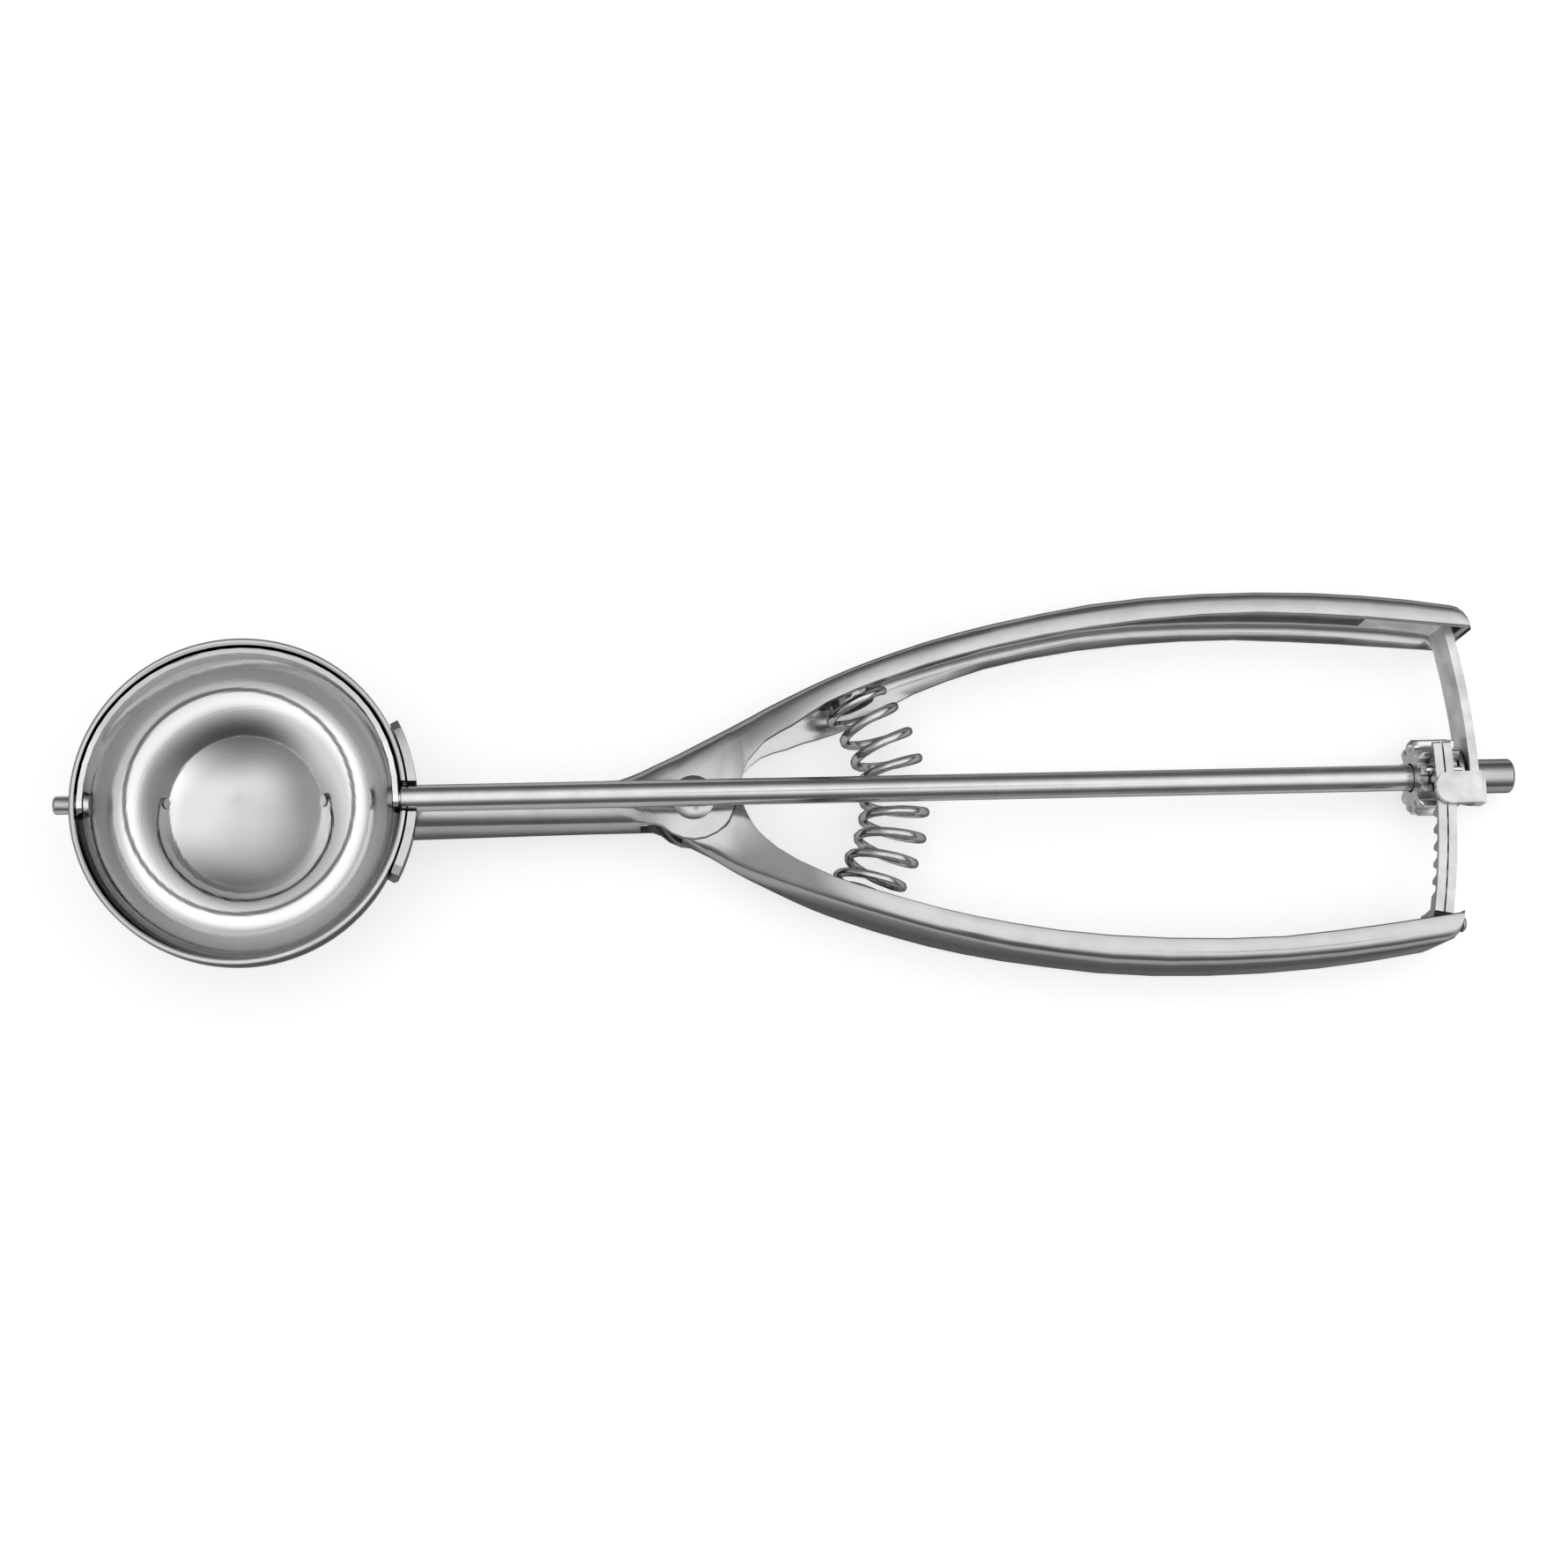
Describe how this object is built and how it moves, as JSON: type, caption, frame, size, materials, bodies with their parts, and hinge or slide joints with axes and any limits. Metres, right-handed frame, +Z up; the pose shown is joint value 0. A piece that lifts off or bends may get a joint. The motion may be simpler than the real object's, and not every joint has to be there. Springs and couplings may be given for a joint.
{
  "type": "ice cream scoop",
  "caption": "Squeeze-handle ice cream scoop: a round bowl with a scraper blade that a rack, pinion and long shaft turn when the two sprung handles are pressed together.",
  "frame": {"origin": "middle of the bounding box at table height, with the scoop lying on its back", "axes": "+X towards the handles' rear end, +Y towards the fixed handle, +Z up, out of the bowl's mouth; shaft and pivot are tilted 5.5 degrees about +Y, because bowl and handles rest on the table together"},
  "size_m": [0.2578, 0.0674, 0.0341],
  "materials": {
    "polished_steel": "polished stainless steel",
    "cut_steel": "cut and tumbled stainless steel",
    "spring_steel": "drawn spring wire"
  },
  "bodies": {
    "frame": {"bowl": "polished_steel", "bowl_saddle": "polished_steel", "fixed_handle": "polished_steel", "pivot_rivet": "polished_steel", "bearing_strip": "polished_steel", "spring_seat_upper": "polished_steel", "return_spring": "spring_steel"},
    "lever": {"moving_handle": "polished_steel", "rack_front": "cut_steel", "rack_rear": "cut_steel", "rack_rivet_front": "polished_steel", "rack_rivet_rear": "polished_steel", "spring_seat_lower": "polished_steel"},
    "shaft": {"shaft_rod": "polished_steel", "pinion": "cut_steel", "thrust_washer": "polished_steel", "rear_collar": "polished_steel", "scraper_blade": "polished_steel", "scraper_pin": "polished_steel"}
  },
  "joints": [
    {"name": "squeeze", "type": "hinge", "parent": "frame", "child": "lever", "pos_m": [-0.0194, 0, 0.01325], "axis": [0.0961, 0, 0.9954], "range_deg": [0, 7.2], "stiffness_Nm_per_rad": 6, "springref_deg": -4.58, "deforming": ["return_spring"]},
    {"name": "sweep", "type": "hinge", "parent": "frame", "child": "shaft", "pos_m": [0.00227, 0, 0.01919], "axis": [0.9954, 0, -0.0961], "range_deg": [-160, 0]}
  ],
  "couplings": [
    {"joint": "sweep", "follows": "squeeze", "ratio": -22.183}
  ]
}
